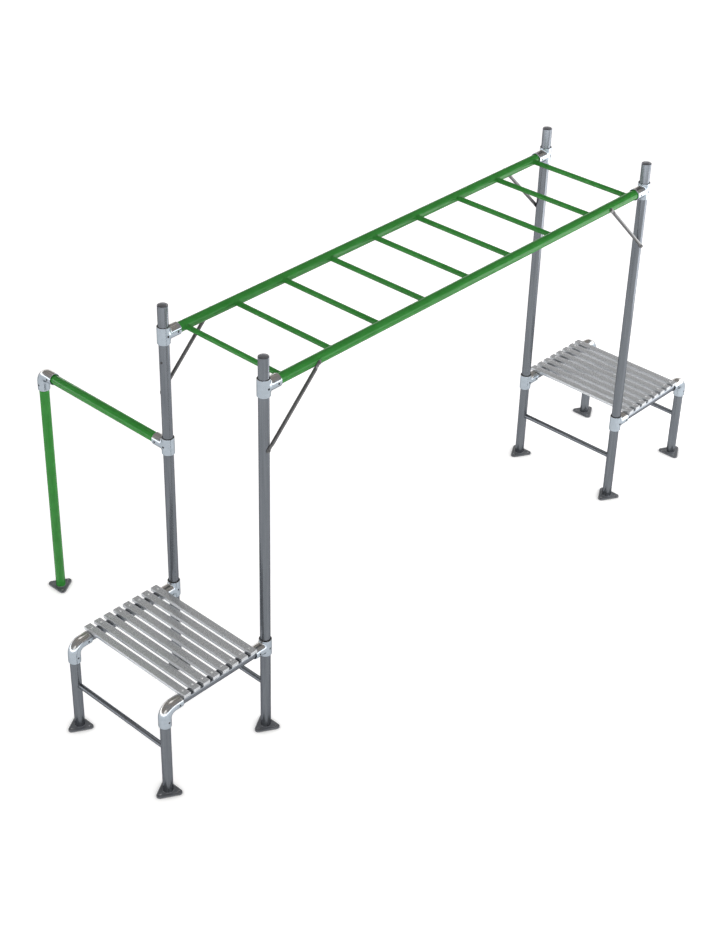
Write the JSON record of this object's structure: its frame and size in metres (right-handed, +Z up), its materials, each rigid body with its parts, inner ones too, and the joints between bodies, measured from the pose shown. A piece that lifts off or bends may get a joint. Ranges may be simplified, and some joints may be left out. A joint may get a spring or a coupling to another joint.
{
  "type": "monkey bars",
  "caption": "Horizontal ladder on tall tube posts, with a slatted step at each end, a lower side turning bar and diagonal braces, all joined by tube fittings.",
  "frame": {"origin": "centre of the whole object's box, on the floor", "axes": "+X along the ladder, +Y towards the side turning bar, +Z up"},
  "size_m": [3.99, 1.6136, 1.9805],
  "materials": {
    "post_grey": "satin grey coat, faintly streaked along the tube",
    "ladder_green": "semi-gloss green coat",
    "cast_fitting": "galvanised casting, pale and slightly mottled",
    "slat_metal": "fine brushed along the slat",
    "foot_grey": "matte dark grey",
    "brace_steel": "satin bare steel"
  },
  "bodies": {
    "root": {"ladder": "ladder_green", "tie_posts_left": "post_grey", "leg_frame_left": "post_grey", "post_left_near": "post_grey", "foot_post_left_near": "foot_grey", "foot_leg_left_near": "foot_grey", "tee_rail_left_near": "cast_fitting", "tee_step_left_near": "cast_fitting", "elbow_step_left_near": "cast_fitting", "step_tube_left_near": "post_grey", "brace_left_near": "brace_steel", "post_left_far": "post_grey", "foot_post_left_far": "foot_grey", "foot_leg_left_far": "foot_grey", "tee_rail_left_far": "cast_fitting", "tee_step_left_far": "cast_fitting", "elbow_step_left_far": "cast_fitting", "step_tube_left_far": "post_grey", "brace_left_far": "brace_steel", "slat_left_1": "slat_metal", "slat_left_2": "slat_metal", "slat_left_3": "slat_metal", "slat_left_4": "slat_metal", "slat_left_5": "slat_metal", "slat_left_6": "slat_metal", "slat_left_7": "slat_metal", "slat_left_8": "slat_metal", "tie_posts_right": "post_grey", "leg_frame_right": "post_grey", "post_right_near": "post_grey", "foot_post_right_near": "foot_grey", "foot_leg_right_near": "foot_grey", "tee_rail_right_near": "cast_fitting", "tee_step_right_near": "cast_fitting", "elbow_step_right_near": "cast_fitting", "step_tube_right_near": "post_grey", "brace_right_near": "brace_steel", "post_right_far": "post_grey", "foot_post_right_far": "foot_grey", "foot_leg_right_far": "foot_grey", "tee_rail_right_far": "cast_fitting", "tee_step_right_far": "cast_fitting", "elbow_step_right_far": "cast_fitting", "step_tube_right_far": "post_grey", "brace_right_far": "brace_steel", "slat_right_1": "slat_metal", "slat_right_2": "slat_metal", "slat_right_3": "slat_metal", "slat_right_4": "slat_metal", "slat_right_5": "slat_metal", "slat_right_6": "slat_metal", "slat_right_7": "slat_metal", "slat_right_8": "slat_metal", "tee_side_bar": "cast_fitting", "side_bar": "ladder_green", "elbow_side_bar": "cast_fitting", "side_post": "ladder_green", "foot_side_post": "foot_grey"}
  },
  "joints": []
}
